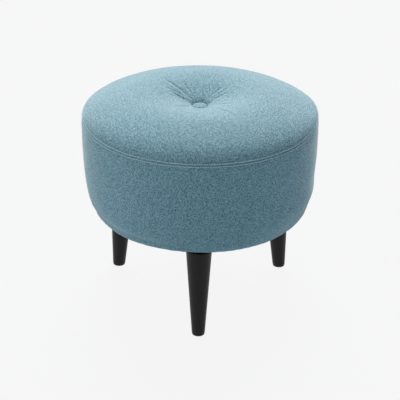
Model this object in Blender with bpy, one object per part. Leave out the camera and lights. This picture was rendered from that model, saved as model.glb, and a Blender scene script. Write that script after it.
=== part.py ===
"""Round tufted footstool on three tapered legs.

Metres, +Z up. The floor is z = 0 and the origin is under the middle of the seat.
A plywood and hardboard drum is padded and covered, and stands on three screwed-in legs.
"""

from math import cos, exp, pi, radians, sin, sqrt, tau

import bmesh
import bpy
from mathutils import Matrix, Vector

for old_object in list(bpy.data.objects):
    bpy.data.objects.remove(old_object, do_unlink=True)

# Clearance between pieces that touch
fit_gap = 0.0003

# Facets round each kind of piece, and rows of facets up the padded drum and seat
drum_sides = 48
leg_sides = 28
button_sides = 24
glide_sides = 20
bolt_sides = 16
screw_sides = 10
nail_sides = 8
band_steps = 6
seam_steps = 2
seat_rings = 11
ring_crowding = 2.0
arc_steps = 6

# Wooden drum, which everything else is set out from
drum_radius = 0.1815
side_wall_thickness = 0.0030
side_wall_slit = 0.0012
base_board_thickness = 0.0150
top_board_thickness = 0.0120
post_length = 0.1232
post_width = 0.0360
post_depth = 0.0300
post_count = 6

# Padded drum, measured over the cloth
underside_padding = 0.0012
widest_padding = 0.0285
seam_tuck = 0.0027
widest_below_seam = 0.0177
seat_side_height = 0.0239
crown_height = 0.0516

# Tuft in the middle of the seat
seat_flattening = 0.0065
flattening_radius = 0.0900
tuft_steep_depth = 0.0072
tuft_steep_spread = 0.0005
tuft_wide_depth = 0.0258
tuft_wide_reach = 0.1400
tuft_floor_radius = 0.0130
tuft_hole_radius = 0.0036

# Folds that run out from the tuft: direction in degrees, length and depth
folds = (
    (135.0, 0.088, 0.0034),
    (157.5, 0.054, 0.0022),
    (112.5, 0.056, 0.0012),
    (45.0, 0.060, 0.0026),
    (22.5, 0.060, 0.0026),
    (-37.5, 0.056, 0.0012),
    (-60.0, 0.090, 0.0020),
    (-127.5, 0.064, 0.0018),
)
fold_width = 0.0050
fold_lean = 0.6

# Cloth, wadding and hem
cloth_thickness = 0.0018
wadding_thickness = 0.0060
hem_inset = 0.0315
dust_cover_inset = 0.0055
dust_cover_thickness = 0.0008

# Legs and their fixings
leg_count = 3
leg_length = 0.1617
leg_top_radius = 0.0229
leg_foot_radius = 0.0115
leg_inset = 0.0167
leg_splay = 0.0100
leg_foot_rounding = 0.0008
glide_radius = 0.0110
glide_thickness = 0.0020
glide_rounding = 0.0006
glide_nail_radius = 0.0010
glide_nail_length = 0.0120
bolt_radius = 0.0040
bolt_wood_length = 0.0380
bolt_thread_length = 0.0260
bolt_tip_length = 0.0080
nut_flange_radius = 0.0110
nut_flange_thickness = 0.0015
nut_barrel_radius = 0.0050
nut_barrel_length = 0.0110
nut_prong_circle = 0.0085
nut_prong_length = 0.0060
nut_prong_width = 0.0034
nut_prong_thickness = 0.0012
nut_prong_count = 4
nut_prong_taper = 0.35

# Wood screws
screw_radius = 0.0020
screw_head_radius = 0.0040
screw_head_height = 0.0026
screw_length = 0.0400
screw_tip_length = 0.0050

# Tufting button, twine and washer
button_radius = 0.0125
button_height = 0.0070
button_rim_height = 0.0020
button_rim_width = 0.0020
button_recess_depth = 0.0022
back_plate_thickness = 0.0012
eye_radius = 0.0022
eye_wire_radius = 0.0005
twine_radius = 0.0006
twine_bottom_spread = 0.0025
washer_radius = 0.0125
washer_thickness = 0.0015

# Radii that follow from the drum's
underside_radius = drum_radius + underside_padding
widest_radius = drum_radius + widest_padding
seam_radius = widest_radius - seam_tuck
hem_radius = drum_radius - hem_inset
dust_cover_radius = drum_radius - dust_cover_inset
leg_top_circle = drum_radius - leg_inset
leg_foot_circle = leg_top_circle + leg_splay
wall_inner_radius = drum_radius - side_wall_thickness
board_radius = wall_inner_radius - fit_gap
post_outer_face = sqrt((board_radius - fit_gap) ** 2 - (post_width / 2) ** 2)
post_circle = post_outer_face - post_depth / 2

# Heights, from the floor up
leg_bottom = glide_thickness + fit_gap
leg_top = leg_bottom + leg_length
dust_cover_bottom = leg_top + fit_gap
dust_cover_top = dust_cover_bottom + dust_cover_thickness
underside = dust_cover_top + fit_gap
base_board_bottom = underside + cloth_thickness + fit_gap
base_board_top = base_board_bottom + base_board_thickness
post_bottom = base_board_top + fit_gap
top_board_bottom = post_bottom + post_length + fit_gap
top_board_top = top_board_bottom + top_board_thickness
seat_bottom = top_board_top + fit_gap
seam_height = seat_bottom + seat_side_height
widest_height = seam_height - widest_below_seam
leg_directions = [radians(-90 + 360 * leg / leg_count) for leg in range(leg_count)]
post_directions = [radians(360 * post / post_count) for post in range(post_count)]


def finish(name, colour, roughness, metallic=0.0):
    """A plain surface in the colour of the real material."""
    material = bpy.data.materials.new(name)
    material.use_nodes = True
    shader = material.node_tree.nodes["Principled BSDF"]
    shader.inputs["Base Color"].default_value = (*colour, 1.0)
    shader.inputs["Roughness"].default_value = roughness
    shader.inputs["Metallic"].default_value = metallic
    return material


teal_cloth = finish("teal_cloth", (0.205, 0.375, 0.455), 0.95)
black_lacquer = finish("black_lacquer", (0.018, 0.018, 0.020), 0.42)
plywood = finish("plywood", (0.56, 0.40, 0.25), 0.75)
pine = finish("pine", (0.66, 0.49, 0.30), 0.75)
hardboard = finish("hardboard", (0.27, 0.17, 0.10), 0.80)
foam = finish("foam", (0.80, 0.74, 0.56), 0.95)
white_fibre = finish("white_fibre", (0.86, 0.86, 0.84), 0.95)
black_cloth = finish("black_cloth", (0.020, 0.020, 0.022), 0.95)
zinc_steel = finish("zinc_steel", (0.62, 0.62, 0.60), 0.35, 1.0)
black_nylon = finish("black_nylon", (0.020, 0.020, 0.020), 0.60)
waxed_twine = finish("waxed_twine", (0.70, 0.62, 0.45), 0.80)


def place(name, shape, material):
    """Turns a finished bmesh into a named object with one material."""
    bmesh.ops.recalc_face_normals(shape, faces=shape.faces)
    mesh = bpy.data.meshes.new(name)
    shape.to_mesh(mesh)
    shape.free()
    mesh.shade_smooth()
    mesh.set_sharp_from_angle(angle=radians(35))
    mesh.materials.append(material)
    piece = bpy.data.objects.new(name, mesh)
    bpy.context.collection.objects.link(piece)
    return piece


def fold_depth(radius, angle):
    """Depth of the folds in the cloth at a place on the seat."""
    depth = 0.0
    for direction, length, deepest in folds:
        if not tuft_floor_radius < radius < length:
            continue
        apart = (angle - radians(direction) + pi) % tau - pi
        side_step = radius * apart / fold_width
        along = (radius - tuft_floor_radius) / (length - tuft_floor_radius)
        depth += deepest * sin(pi * along**fold_lean) * exp(-side_step * side_step)
    return depth


def turn(shape, rows, sides, centre=(0.0, 0.0)):
    """Adds a solid turned about a vertical axis from the closed outline in rows.

    A row is (radius, height), or (radius, height, fold radius, share of the fold's depth).
    Each four-sided face starts where its first diagonal runs the same way on every layer.
    """
    columns = []
    axis_points = {}
    for step in range(sides):
        angle = tau * step / sides
        column = []
        for index, (radius, height, *fold) in enumerate(rows):
            if radius == 0.0:
                if index not in axis_points:
                    axis_points[index] = shape.verts.new((*centre, height))
                column.append(axis_points[index])
                continue
            drop = fold[1] * fold_depth(fold[0], angle) if fold else 0.0
            x = centre[0] + radius * cos(angle)
            y = centre[1] + radius * sin(angle)
            column.append(shape.verts.new((x, y, height - drop)))
        columns.append(column)
    for step in range(sides):
        here, there = columns[step], columns[(step + 1) % sides]
        for index in range(len(rows)):
            after = (index + 1) % len(rows)
            corners = (here[index], there[index], there[after], here[after])
            if rows[index][0] < rows[after][0]:
                corners = corners[1:] + corners[:1]
            unlike = list(dict.fromkeys(corners))
            if len(unlike) > 2:
                shape.faces.new(unlike)


def turned(name, rows, material, sides=drum_sides, centre=(0.0, 0.0)):
    """A named piece turned from one outline."""
    shape = bmesh.new()
    turn(shape, rows, sides, centre)
    bmesh.ops.triangulate(shape, faces=shape.faces, quad_method="FIXED")
    return place(name, shape, material)


def cut(piece, cutter):
    """Takes the cutter's volume out of a piece, and hides the cutter."""
    boolean = piece.modifiers.new(cutter.name, "BOOLEAN")
    boolean.operation = "DIFFERENCE"
    boolean.object = cutter
    cutter.hide_render = True
    cutter.display_type = "WIRE"


def drill(name, radius, bottom, top, centre, sides=bolt_sides):
    """A cutter for a straight vertical hole."""
    rows = [(0.0, bottom), (radius, bottom), (radius, top), (0.0, top)]
    return turned(name, rows, zinc_steel, sides, centre)


def around(circle, direction):
    """A point on a circle about the middle of the seat."""
    return (circle * cos(direction), circle * sin(direction))


# Outline of the padded drum and seat, from the hem under the base up to the tuft


def seat_height(radius):
    """Height of the seat over the cloth.

    A domed ellipse, eased flat, that the tuft draws down in a wide hollow with a steep wall
    close round the button.
    """
    dome = crown_height * sqrt(max(0.0, 1 - (radius / seam_radius) ** 2))
    easing = seat_flattening * exp(-((radius / flattening_radius) ** 2))
    from_floor = max(0.0, radius - tuft_floor_radius)
    steep = tuft_steep_depth * exp(-from_floor / tuft_steep_spread)
    wide = tuft_wide_depth * max(0.0, 1 - radius / tuft_wide_reach) ** 2
    return seam_height + dome - easing - steep - wide


tuft_floor = seat_height(tuft_floor_radius)

outline = [(hem_radius, underside), (underside_radius, underside)]
band_width = widest_radius - underside_radius
band_rise = widest_height - underside
seat_bottom_turn = pi / 2 - (widest_height - seat_bottom) / band_rise
for step in range(1, band_steps + 1):
    turn_angle = seat_bottom_turn * step / band_steps
    rise = band_rise * (1 - cos(turn_angle))
    outline.append((underside_radius + band_width * sin(turn_angle), underside + rise))
seat_bottom_row = len(outline) - 1
for step in range(seam_steps + 1):
    share = step / seam_steps
    radius = widest_radius - seam_tuck * share**2
    outline.append((radius, widest_height + widest_below_seam * share))
seam_row = len(outline) - 1
for ring in range(seat_rings - 1, -1, -1):
    reach = sin(pi / 2 * (ring / seat_rings) ** ring_crowding)
    radius = tuft_floor_radius + (seam_radius - tuft_floor_radius) * reach
    outline.append((radius, seat_height(radius)))
outline.append((tuft_hole_radius, tuft_floor))
tuft_row = len(outline) - 1


def inward(row):
    """Direction from the cloth into the padding, lengthened at corners so that layers stay even."""
    normals = []
    for start, end in ((row - 1, row), (row, row + 1)):
        if start < 0 or end > tuft_row:
            continue
        run = Vector(outline[end]) - Vector(outline[start])
        normals.append(Vector((-run.y, run.x)).normalized())
    if len(normals) == 1:
        return normals[0]
    return (normals[0] + normals[1]) / (1 + normals[0].dot(normals[1]))


def layer(rows, depth, fold_share=0.0):
    """The outline's rows moved a depth into the padding."""
    points = []
    for row in rows:
        radius, height = Vector(outline[row]) + depth * inward(row)
        points.append((radius, height, outline[row][0], fold_share))
    return points


# Wooden drum: two plywood boards, six upright blocks and a bent hardboard wall

screw_outline = [
    (0.0, 0.0),
    (screw_head_radius, 0.0),
    (screw_radius, screw_head_height),
    (screw_radius, screw_length - screw_tip_length),
    (0.0, screw_length),
]
screw_hole_outline = [
    (0.0, -fit_gap),
    (screw_head_radius + fit_gap, -fit_gap),
    (screw_head_radius + fit_gap, fit_gap),
    (screw_radius + fit_gap, screw_head_height + fit_gap),
    (screw_radius + fit_gap, screw_length + fit_gap),
    (0.0, screw_length + fit_gap),
]


def board(name, bottom, thickness):
    """A round plywood board."""
    top = bottom + thickness
    rows = [(0.0, bottom), (board_radius, bottom), (board_radius, top), (0.0, top)]
    return turned(name, rows, plywood)


base_board = board("base_board", base_board_bottom, base_board_thickness)
top_board = board("top_board", top_board_bottom, top_board_thickness)

posts = []
for number, direction in enumerate(post_directions, 1):
    shape = bmesh.new()
    bmesh.ops.create_cube(shape, size=1.0)
    size = Matrix.Diagonal((post_depth, post_width, post_length, 1.0))
    bmesh.ops.transform(shape, matrix=size, verts=shape.verts)
    post = place(f"frame_post_{number}", shape, pine)
    post.location = (*around(post_circle, direction), post_bottom + post_length / 2)
    post.rotation_euler.z = direction
    posts.append(post)


def wood_screws(name, start, upward, cut_board):
    """Countersunk screws, one through a board into the end of each block, and their holes."""
    for number, (post, direction) in enumerate(zip(posts, post_directions), 1):
        centre = around(post_circle, direction)
        rows = [(radius, start + upward * height) for radius, height in screw_outline]
        turned(f"{name}_{number}", rows, zinc_steel, screw_sides, centre)
        rows = [(radius, start + upward * height) for radius, height in screw_hole_outline]
        hole = turned(f"hole_{name}_{number}", rows, zinc_steel, screw_sides, centre)
        cut(cut_board, hole)
        cut(post, hole)


wood_screws("base_screw", base_board_bottom, 1, base_board)
wood_screws("top_screw", top_board_top, -1, top_board)

side_wall = turned(
    "side_wall",
    [
        (drum_radius, base_board_bottom),
        (drum_radius, top_board_top),
        (wall_inner_radius, top_board_top),
        (wall_inner_radius, base_board_bottom),
    ],
    hardboard,
)
slit_shape = bmesh.new()
bmesh.ops.create_cube(slit_shape, size=1.0)
slit_size = (side_wall_slit, 4 * side_wall_thickness, 2 * (top_board_top - underside), 1.0)
bmesh.ops.transform(slit_shape, matrix=Matrix.Diagonal(slit_size), verts=slit_shape.verts)
slit_cutter = place("cut_wall_slit", slit_shape, hardboard)
slit_cutter.location = (0.0, drum_radius - side_wall_thickness / 2, top_board_bottom)
cut(side_wall, slit_cutter)

# Soft layers: padding round the drum, then foam, wadding and cloth on the seat

padding_top_radius = outline[seat_bottom_row][0]
padding_depth = cloth_thickness + fit_gap
foam_depth = padding_depth + wadding_thickness + fit_gap

turned(
    "side_padding",
    [(drum_radius + fit_gap, base_board_bottom)]
    + layer(range(1, seat_bottom_row), padding_depth)
    + [
        (padding_top_radius - padding_depth, top_board_top),
        (drum_radius + fit_gap, top_board_top),
    ],
    foam,
)

# Under the wadding every second ring is enough, down to the steep wall of the tuft
under_rings = list(range(seam_row + 1, tuft_row - 2, 2)) + [tuft_row - 2, tuft_row - 1, tuft_row]
seat_sides = range(seat_bottom_row + 1, seam_row + 1)


def seat_rim(depth):
    """Lower edge of a seat layer, level with the top board."""
    return [(padding_top_radius - depth, seat_bottom)]


turned(
    "seat_foam",
    seat_rim(foam_depth)
    + layer(seat_sides, foam_depth)
    + layer(under_rings, foam_depth, 0.5)
    + [(tuft_hole_radius, seat_bottom)],
    foam,
)
turned(
    "seat_wadding",
    seat_rim(padding_depth)
    + layer(seat_sides, padding_depth)
    + layer(range(seam_row + 1, tuft_row + 1), padding_depth, 1.0)
    + layer(reversed(under_rings), foam_depth - fit_gap, 0.5)
    + layer(reversed(seat_sides), foam_depth - fit_gap)
    + seat_rim(foam_depth - fit_gap),
    white_fibre,
)


def off_the_seam(rows, shift):
    """Lifts or lowers the row on the seam by half a gap, so that the two cloths stay apart."""
    radius, height, *fold = rows[0] if shift > 0 else rows[-1]
    moved = (radius, height + shift * fit_gap / 2, *fold)
    return [moved] + rows[1:] if shift > 0 else rows[:-1] + [moved]


top_rows = range(seam_row, tuft_row + 1)
turned(
    "cover_top",
    off_the_seam(layer(top_rows, 0.0, 1.0), 1)
    + off_the_seam(layer(top_rows, cloth_thickness, 1.0), 1)[::-1],
    teal_cloth,
)
side_rows = range(seam_row + 1)
cover_side = turned(
    "cover_side",
    off_the_seam(layer(side_rows, 0.0), -1)
    + off_the_seam(layer(side_rows, cloth_thickness), -1)[::-1],
    teal_cloth,
)
dust_cover = turned(
    "dust_cover",
    [
        (0.0, dust_cover_bottom),
        (dust_cover_radius, dust_cover_bottom),
        (dust_cover_radius, dust_cover_top),
        (0.0, dust_cover_top),
    ],
    black_cloth,
)

# Tufting button with its back plate and eye, and the twine that pulls it down

button_base = tuft_floor + fit_gap
recess_top = button_base + button_recess_depth
recess_radius = button_radius - button_rim_width
button_rows = [(0.0, recess_top), (recess_radius, recess_top), (recess_radius, button_base)]
button_rows.append((button_radius - button_rim_width / 2, button_base))
for step in range(arc_steps):
    turn_angle = pi / 2 * step / arc_steps
    rise = (button_height - button_rim_height) * sin(turn_angle)
    height = button_base + button_rim_height + rise
    button_rows.append((button_radius * cos(turn_angle), height))
button_rows.append((0.0, button_base + button_height))
turned("tuft_button", button_rows, teal_cloth, button_sides)

plate_top = recess_top - fit_gap
plate_bottom = plate_top - back_plate_thickness
plate_radius = recess_radius - fit_gap
button_back = turned(
    "button_back",
    [
        (0.0, plate_bottom),
        (plate_radius, plate_bottom),
        (plate_radius, plate_top),
        (0.0, plate_top),
    ],
    zinc_steel,
    button_sides,
)
eye_centre = plate_bottom + eye_wire_radius - eye_radius
eye_shape = bmesh.new()
eye_rings = []
for step in range(bolt_sides):
    angle = tau * step / bolt_sides
    ring = []
    for corner in range(nail_sides):
        wire_angle = tau * corner / nail_sides
        reach = eye_radius + eye_wire_radius * cos(wire_angle)
        across = eye_wire_radius * sin(wire_angle)
        ring.append(
            eye_shape.verts.new((reach * cos(angle), across, eye_centre + reach * sin(angle)))
        )
    eye_rings.append(ring)
for step in range(bolt_sides):
    here, there = eye_rings[step], eye_rings[(step + 1) % bolt_sides]
    for corner in range(nail_sides):
        after = (corner + 1) % nail_sides
        eye_shape.faces.new((here[corner], here[after], there[after], there[corner]))
eye = place("wire_eye", eye_shape, zinc_steel)
eye_union = button_back.modifiers.new("wire_eye", "BOOLEAN")
eye_union.operation = "UNION"
eye_union.object = eye
eye.hide_render = True
eye.display_type = "WIRE"

twine_top_spread = eye_wire_radius + twine_radius + fit_gap
twine_top = eye_centre - eye_radius
washer_top = top_board_bottom - fit_gap
washer_bottom = washer_top - washer_thickness
twine_bottom = washer_bottom - fit_gap
twine_points = []
for step in range(arc_steps + 1):
    turn_angle = pi * step / arc_steps
    rise = twine_top_spread * sin(turn_angle)
    twine_points.append((0.0, twine_top_spread * cos(turn_angle), twine_top + rise))
for step in range(arc_steps + 1):
    turn_angle = pi * step / arc_steps
    drop = twine_bottom_spread * sin(turn_angle)
    twine_points.append((0.0, -twine_bottom_spread * cos(turn_angle), twine_bottom - drop))
twine_path = bpy.data.curves.new("tuft_twine", "CURVE")
twine_path.dimensions = "3D"
twine_path.bevel_depth = twine_radius
twine_path.bevel_resolution = 2
twine_line = twine_path.splines.new("POLY")
twine_line.points.add(len(twine_points) - 1)
for point, place_of_point in zip(twine_line.points, twine_points):
    point.co = (*place_of_point, 1.0)
twine_line.use_cyclic_u = True
twine_path.materials.append(waxed_twine)
bpy.context.collection.objects.link(bpy.data.objects.new("tuft_twine", twine_path))

tuft_washer = turned(
    "tuft_washer",
    [
        (0.0, washer_bottom),
        (washer_radius, washer_bottom),
        (washer_radius, washer_top),
        (0.0, washer_top),
    ],
    zinc_steel,
    button_sides,
)
for name, across in (("front", -twine_bottom_spread), ("back", twine_bottom_spread)):
    hole = drill(
        f"hole_washer_{name}",
        twine_radius + fit_gap,
        washer_bottom - fit_gap,
        washer_top + fit_gap,
        (0.0, across),
    )
    cut(tuft_washer, hole)
cut(
    top_board,
    drill(
        "hole_twine",
        tuft_hole_radius,
        top_board_bottom - fit_gap,
        top_board_top + fit_gap,
        (0.0, 0.0),
    ),
)

# Legs, each with a hanger bolt in its top, a T-nut in the base board and a nailed glide

lean = leg_splay / leg_length
nail_top = glide_thickness + glide_nail_length
nail_tip_length = 2 * glide_nail_radius
bolt_bottom = leg_top - bolt_wood_length
bolt_top = leg_top + bolt_thread_length
nut_flange_bottom = base_board_top + fit_gap
nut_flange_top = nut_flange_bottom + nut_flange_thickness
nut_barrel_bottom = nut_flange_bottom - nut_barrel_length
nut_bore_radius = bolt_radius + fit_gap
nut_hole_radius = nut_barrel_radius + fit_gap

leg_rows = [(0.0, leg_bottom), (leg_foot_radius - leg_foot_rounding, leg_bottom)]
for turn_angle in (pi / 4, pi / 2):
    inset = leg_foot_rounding * (1 - sin(turn_angle))
    rise = leg_foot_rounding * (1 - cos(turn_angle))
    leg_rows.append((leg_foot_radius - inset, leg_bottom + rise))
leg_rows += [(leg_top_radius, leg_top), (0.0, leg_top)]


def prong(shape, direction, centre, grow):
    """One prong of a T-nut, tapered to its point, or the slot that it sits in."""
    middle = Vector(centre) + nut_prong_circle * Vector((cos(direction), sin(direction)))
    out = Vector((cos(direction), sin(direction)))
    along = Vector((-sin(direction), cos(direction)))
    levels = (
        (nut_flange_bottom + nut_flange_thickness / 2, 1.0),
        (nut_flange_bottom - nut_prong_length - grow, nut_prong_taper),
    )
    rings = []
    for height, taper in levels:
        half_width = nut_prong_width / 2 * taper + grow
        half_thickness = nut_prong_thickness / 2 + grow
        ring = []
        for a, b in ((-1, -1), (1, -1), (1, 1), (-1, 1)):
            corner = middle + a * half_width * along + b * half_thickness * out
            ring.append(shape.verts.new((*corner, height)))
        rings.append(ring)
    shape.faces.new(rings[0])
    shape.faces.new(rings[1][::-1])
    for side in range(4):
        after = (side + 1) % 4
        shape.faces.new((rings[0][side], rings[1][side], rings[1][after], rings[0][after]))


for number, direction in enumerate(leg_directions, 1):
    top_centre = around(leg_top_circle, direction)
    foot_centre = around(leg_foot_circle, direction)

    leg_shape = bmesh.new()
    turn(leg_shape, leg_rows, leg_sides)
    for corner in leg_shape.verts:
        out = leg_top_circle + lean * (leg_top - corner.co.z)
        corner.co.x += out * cos(direction)
        corner.co.y += out * sin(direction)
    leg = place(f"leg_{number}", leg_shape, black_lacquer)
    bolt_hole = (f"hole_bolt_{number}", bolt_radius + fit_gap, bolt_bottom - fit_gap)
    cut(leg, drill(*bolt_hole, leg_top + fit_gap, top_centre))
    nail_hole = (f"hole_nail_{number}", glide_nail_radius + fit_gap, leg_bottom - fit_gap)
    cut(leg, drill(*nail_hole, nail_top + fit_gap, foot_centre, nail_sides))

    turned(
        f"foot_glide_{number}",
        [
            (0.0, 0.0),
            (glide_radius - glide_rounding, 0.0),
            (glide_radius, glide_rounding),
            (glide_radius, glide_thickness),
            (glide_nail_radius, glide_thickness),
            (glide_nail_radius, nail_top - nail_tip_length),
            (0.0, nail_top),
        ],
        black_nylon,
        glide_sides,
        foot_centre,
    )
    turned(
        f"hanger_bolt_{number}",
        [
            (0.0, bolt_bottom),
            (bolt_radius, bolt_bottom + bolt_tip_length),
            (bolt_radius, bolt_top - fit_gap),
            (bolt_radius - fit_gap, bolt_top),
            (0.0, bolt_top),
        ],
        zinc_steel,
        bolt_sides,
        top_centre,
    )
    t_nut = turned(
        f"t_nut_{number}",
        [
            (nut_bore_radius, nut_barrel_bottom),
            (nut_barrel_radius, nut_barrel_bottom),
            (nut_barrel_radius, nut_flange_bottom),
            (nut_flange_radius, nut_flange_bottom),
            (nut_flange_radius, nut_flange_top),
            (nut_bore_radius, nut_flange_top),
        ],
        zinc_steel,
        bolt_sides,
        top_centre,
    )
    prongs = bmesh.new()
    slots = bmesh.new()
    for tooth in range(nut_prong_count):
        tooth_direction = direction + tau * (tooth + 0.5) / nut_prong_count
        prong(prongs, tooth_direction, top_centre, 0.0)
        prong(slots, tooth_direction, top_centre, fit_gap)
    prong_set = place(f"prongs_{number}", prongs, zinc_steel)
    prong_union = t_nut.modifiers.new("prongs", "BOOLEAN")
    prong_union.operation = "UNION"
    prong_union.object = prong_set
    prong_set.hide_render = True
    prong_set.display_type = "WIRE"
    cut(base_board, place(f"slots_{number}", slots, zinc_steel))
    nut_hole = (f"hole_nut_{number}", nut_hole_radius, base_board_bottom - fit_gap)
    cut(base_board, drill(*nut_hole, base_board_top + fit_gap, top_centre))
    cloth_hole = (f"hole_cloth_{number}", bolt_radius + fit_gap, leg_top - fit_gap)
    cloth_cutter = drill(*cloth_hole, base_board_bottom + fit_gap, top_centre)
    cut(cover_side, cloth_cutter)
    cut(dust_cover, cloth_cutter)
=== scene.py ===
"""Round tufted footstool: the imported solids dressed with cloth, thread, lacquer and wood.

Metres, +Z up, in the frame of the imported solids. The single leg stands towards the camera.
"""

from math import cos, pi, radians, sin, sqrt, tau

import bpy
import numpy as np
from mathutils import Matrix, Vector, noise


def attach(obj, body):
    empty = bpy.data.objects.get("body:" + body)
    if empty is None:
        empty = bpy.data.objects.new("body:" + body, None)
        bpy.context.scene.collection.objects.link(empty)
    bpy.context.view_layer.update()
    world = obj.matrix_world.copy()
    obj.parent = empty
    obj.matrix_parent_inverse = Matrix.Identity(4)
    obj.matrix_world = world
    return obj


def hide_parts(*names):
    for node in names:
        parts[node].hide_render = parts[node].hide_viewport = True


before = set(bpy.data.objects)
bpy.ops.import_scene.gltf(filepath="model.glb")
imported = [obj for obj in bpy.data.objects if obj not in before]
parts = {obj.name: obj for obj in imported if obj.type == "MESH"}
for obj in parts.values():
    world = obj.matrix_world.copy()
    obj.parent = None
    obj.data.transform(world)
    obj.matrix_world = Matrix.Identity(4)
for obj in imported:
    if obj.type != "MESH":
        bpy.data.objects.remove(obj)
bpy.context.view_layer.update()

# Plywood boards
# The round base board and top board of the drum are cut from birch plywood: pale faces with
# long grain, and thin plies that show as stripes on the sawn edge.

base_board_bottom = 0.1675
ply_thickness = 0.0015


def node(tree, kind, sockets=None, **settings):
    """One shader node, with its settings and with its sockets set or linked."""
    made = tree.nodes.new("ShaderNode" + kind)
    for setting, value in settings.items():
        setattr(made, setting, value)
    for socket, value in (sockets or {}).items():
        if isinstance(value, bpy.types.NodeSocket):
            tree.links.new(value, made.inputs[socket])
        else:
            made.inputs[socket].default_value = value
    return made


def new_finish(name, roughness, metallic=0.0, specular=0.5):
    """A material with its node tree and its shader, ready for a pattern."""
    material = bpy.data.materials.new(name)
    material.use_nodes = True
    tree = material.node_tree
    shader = tree.nodes["Principled BSDF"]
    shader.inputs["Roughness"].default_value = roughness
    shader.inputs["Metallic"].default_value = metallic
    shader.inputs["Specular IOR Level"].default_value = specular
    return material, tree, shader


def ramp(tree, value, *stops):
    """A colour ramp with (place, colour) stops over a value."""
    made = node(tree, "ValToRGB", {"Fac": value})
    while len(made.color_ramp.elements) < len(stops):
        made.color_ramp.elements.new(1.0)
    for element, (place, colour) in zip(made.color_ramp.elements, stops):
        element.position = place
        element.color = (*colour, 1.0)
    return made.outputs["Color"]


def speckle(tree, place, stretch, detail=3.0):
    """Noise over a place, finer along the axes that are stretched more."""
    moved = node(tree, "Mapping", {"Vector": place, "Scale": stretch})
    made = node(
        tree, "TexNoise", {"Vector": moved.outputs["Vector"], "Scale": 1.0, "Detail": detail}
    )
    return made.outputs["Fac"]


def bump(tree, shader, height, distance, strength=1.0):
    """Raises the surface by a height pattern."""
    made = node(
        tree, "Bump", {"Height": height, "Distance": distance, "Strength": strength}
    )
    tree.links.new(made.outputs["Normal"], shader.inputs["Normal"])


def wear(name_start, material):
    """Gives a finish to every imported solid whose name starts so."""
    for name, part in parts.items():
        if name.startswith(name_start):
            part.data.materials.clear()
            part.data.materials.append(material)


plywood, tree, shader = new_finish("plywood", roughness=0.72)
place = node(tree, "TexCoord").outputs["Object"]
grain = speckle(tree, place, stretch=(22, 260, 260), detail=5.0)
height_in_board = node(tree, "SeparateXYZ", {"Vector": place}).outputs["Z"]
above = node(
    tree, "Math", {0: height_in_board, 1: base_board_bottom}, operation="SUBTRACT"
).outputs["Value"]
plies = node(
    tree, "Math", {0: above, 1: ply_thickness}, operation="DIVIDE"
).outputs["Value"]
odd_ply = node(tree, "Math", {0: plies, 1: 1.0}, operation="PINGPONG").outputs["Value"]
face_colour = ramp(
    tree, grain, (0.35, (0.46, 0.32, 0.19)), (0.55, (0.60, 0.44, 0.28)), (0.7, (0.68, 0.52, 0.35))
)
edge_colour = ramp(tree, odd_ply, (0.42, (0.30, 0.19, 0.11)), (0.58, (0.58, 0.42, 0.27)))
facing = node(tree, "NewGeometry").outputs["Normal"]
up = node(tree, "SeparateXYZ", {"Vector": facing}).outputs["Z"]
flat = node(tree, "Math", {0: up}, operation="ABSOLUTE").outputs["Value"]
board_colour = node(
    tree, "Mix", {"Factor": flat, 6: edge_colour, 7: face_colour}, data_type="RGBA"
)
tree.links.new(board_colour.outputs[2], shader.inputs["Base Color"])
bump(tree, shader, grain, distance=0.0002)
wear("base_board", plywood)
wear("top_board", plywood)

# Upright blocks
# Six sawn pine blocks stand between the boards, with their grain running up. Each is screwed
# to both boards through its ends.

pine, tree, shader = new_finish("pine", roughness=0.70)
place = node(tree, "TexCoord").outputs["Object"]
rings = speckle(tree, place, stretch=(240, 240, 9), detail=4.0)
pine_colour = ramp(
    tree, rings, (0.35, (0.50, 0.33, 0.17)), (0.5, (0.70, 0.53, 0.32)), (0.68, (0.78, 0.63, 0.42))
)
tree.links.new(pine_colour, shader.inputs["Base Color"])
bump(tree, shader, rings, distance=0.0003)
wear("frame_post", pine)

# Side wall
# A strip of thin brown hardboard is bent round both boards and pinned to their edges. It makes
# the drum stiff and carries the side padding.

hardboard, tree, shader = new_finish("hardboard", roughness=0.66)
place = node(tree, "TexCoord").outputs["Object"]
fibres = speckle(tree, place, stretch=(700, 700, 700), detail=6.0)
board_brown = ramp(tree, fibres, (0.35, (0.17, 0.10, 0.055)), (0.7, (0.31, 0.20, 0.12)))
tree.links.new(board_brown, shader.inputs["Base Color"])
bump(tree, shader, fibres, distance=0.0001)
wear("side_wall", hardboard)

# Screws
# Countersunk zinc-plated screws go through each board into the ends of the blocks. The same
# plated steel makes the leg bolts, the T-nuts, the tufting washer and the button's back plate.

zinc_steel, tree, shader = new_finish("zinc_steel", roughness=0.34, metallic=1.0)
place = node(tree, "TexCoord").outputs["Object"]
plating = speckle(tree, place, stretch=(900, 900, 1600), detail=4.0)
zinc_colour = ramp(tree, plating, (0.3, (0.52, 0.53, 0.54)), (0.7, (0.68, 0.68, 0.66)))
tree.links.new(zinc_colour, shader.inputs["Base Color"])
zinc_roughness = node(
    tree, "MapRange", {"Value": plating, "To Min": 0.26, "To Max": 0.44}
)
tree.links.new(zinc_roughness.outputs["Result"], shader.inputs["Roughness"])
bump(tree, shader, plating, distance=0.00003)
for plated in ("base_screw", "top_screw", "hanger_bolt", "t_nut", "tuft_washer", "button_back"):
    wear(plated, zinc_steel)

# Form of the padded drum
# Padding, wadding and cloth all follow one outline: flat under the base, a soft lower edge,
# a band that swells to its widest below the seam, and a crowned seat pulled down by the tuft.

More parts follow.
